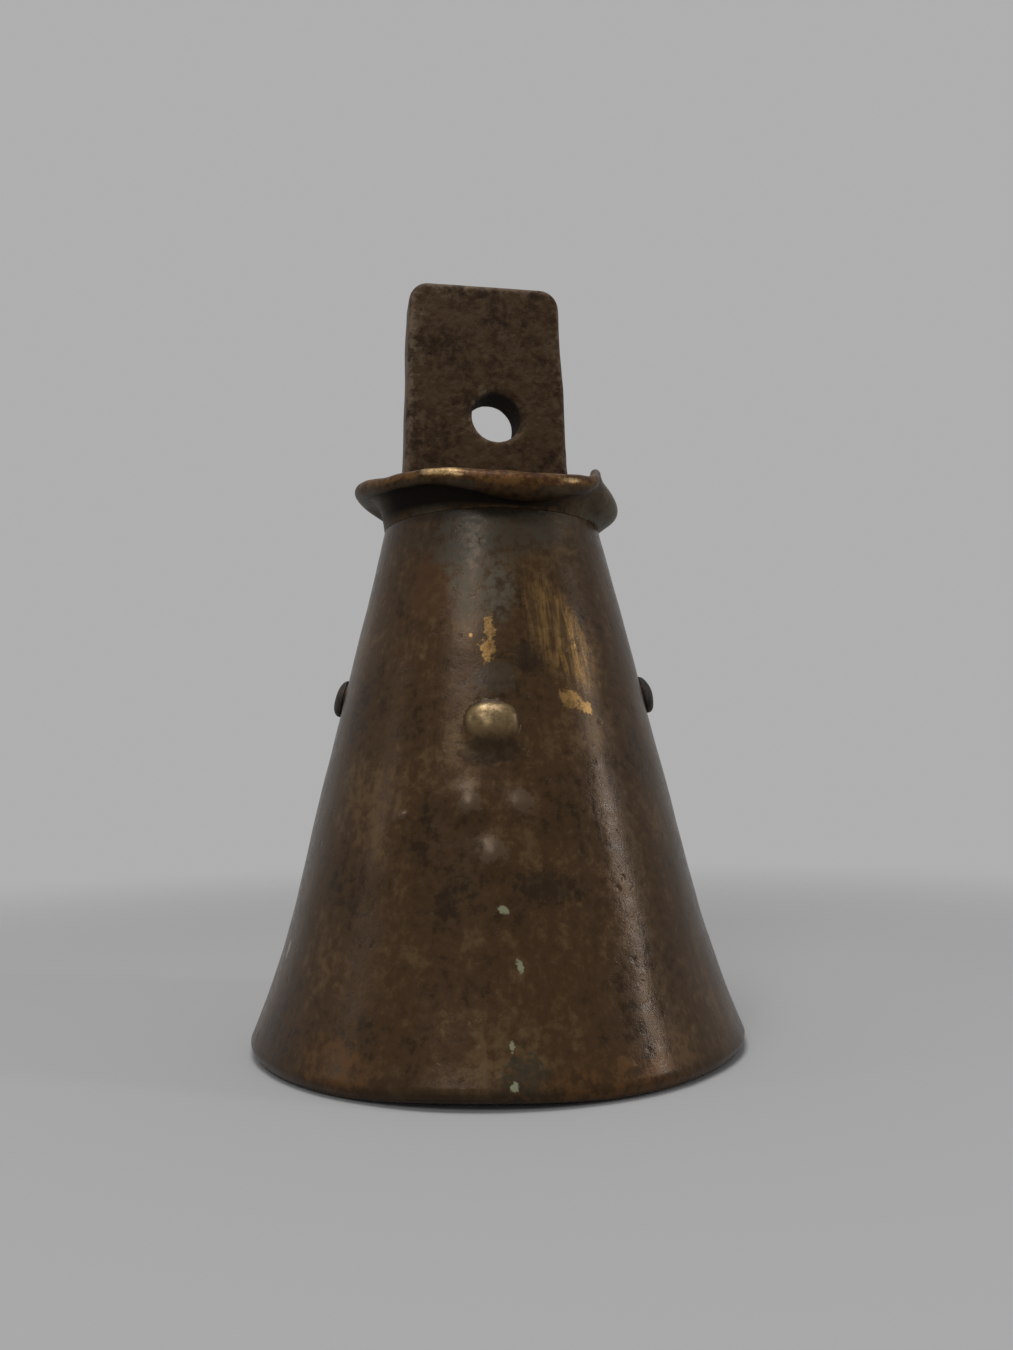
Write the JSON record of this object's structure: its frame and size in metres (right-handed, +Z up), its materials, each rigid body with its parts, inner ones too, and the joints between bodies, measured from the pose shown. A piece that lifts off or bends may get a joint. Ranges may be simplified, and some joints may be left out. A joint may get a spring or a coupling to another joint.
{
  "type": "cattle bell",
  "caption": "Cast conical cattle bell with a flared mouth, beaten crown collar, drilled flat hanger tang and a pin-hung clapper that swings inside.",
  "frame": {"origin": "middle of the mouth plane, on which the bell stands", "axes": "+Z up along the bell's axis towards the tang; -Y is the front, with the large stud; +X is the right, along the clapper pin"},
  "size_m": [0.063, 0.063, 0.1013],
  "materials": {
    "shell_bronze": "aged brown patina, rubbed bright in places",
    "collar_brass": "worn",
    "tang_bronze": "rough dark patina",
    "black_iron": "forged, dark"
  },
  "bodies": {
    "bell": {"bell_body": "shell_bronze", "crown_collar": "collar_brass", "hanger_tang": "tang_bronze", "tang_washer": "collar_brass", "tang_key": "black_iron", "clapper_pin": "black_iron"},
    "clapper": {"clapper_rod": "black_iron", "clapper_ball": "black_iron"}
  },
  "joints": [
    {"name": "clapper_swing", "type": "hinge", "parent": "bell", "child": "clapper", "pos_m": [0, 0, 0.0444], "axis": [1, 0, 0], "range_deg": [-29, 29]}
  ]
}
